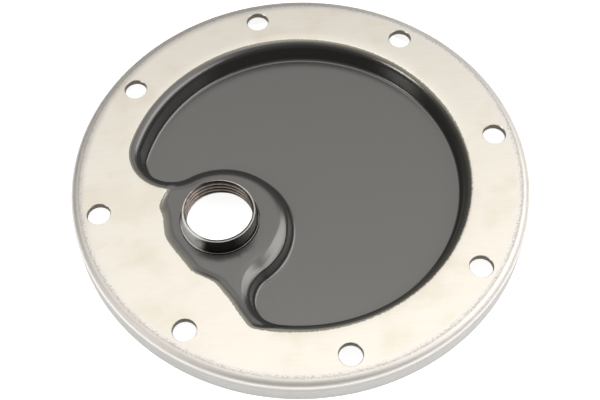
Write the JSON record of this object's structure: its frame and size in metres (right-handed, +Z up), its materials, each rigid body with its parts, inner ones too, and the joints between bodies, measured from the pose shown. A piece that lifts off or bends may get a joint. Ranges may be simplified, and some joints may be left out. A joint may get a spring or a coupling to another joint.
{
  "type": "threaded cover plate",
  "caption": "Round pressed-steel cover plate with a bolt flange, a kidney-shaped well, a turned-down rim and an off-centre threaded neck.",
  "frame": {"origin": "under the centre of the plate, at the level of the lip's lower edge and the well's underside", "axes": "+Z up, the way the neck stands out of the flange; the neck is on the -X side of the centre, 0.85 mm towards +Y"},
  "size_m": [0.13, 0.13, 0.0125],
  "materials": {
    "sheet_steel": "ground bright flange and rim, dark satin coating in the well and around the neck",
    "neck_steel": "turned, bright to dark",
    "bead_metal": "as welded"
  },
  "bodies": {
    "root": {"cover_plate": "sheet_steel", "threaded_neck": "neck_steel", "weld_bead": "bead_metal"}
  },
  "joints": []
}
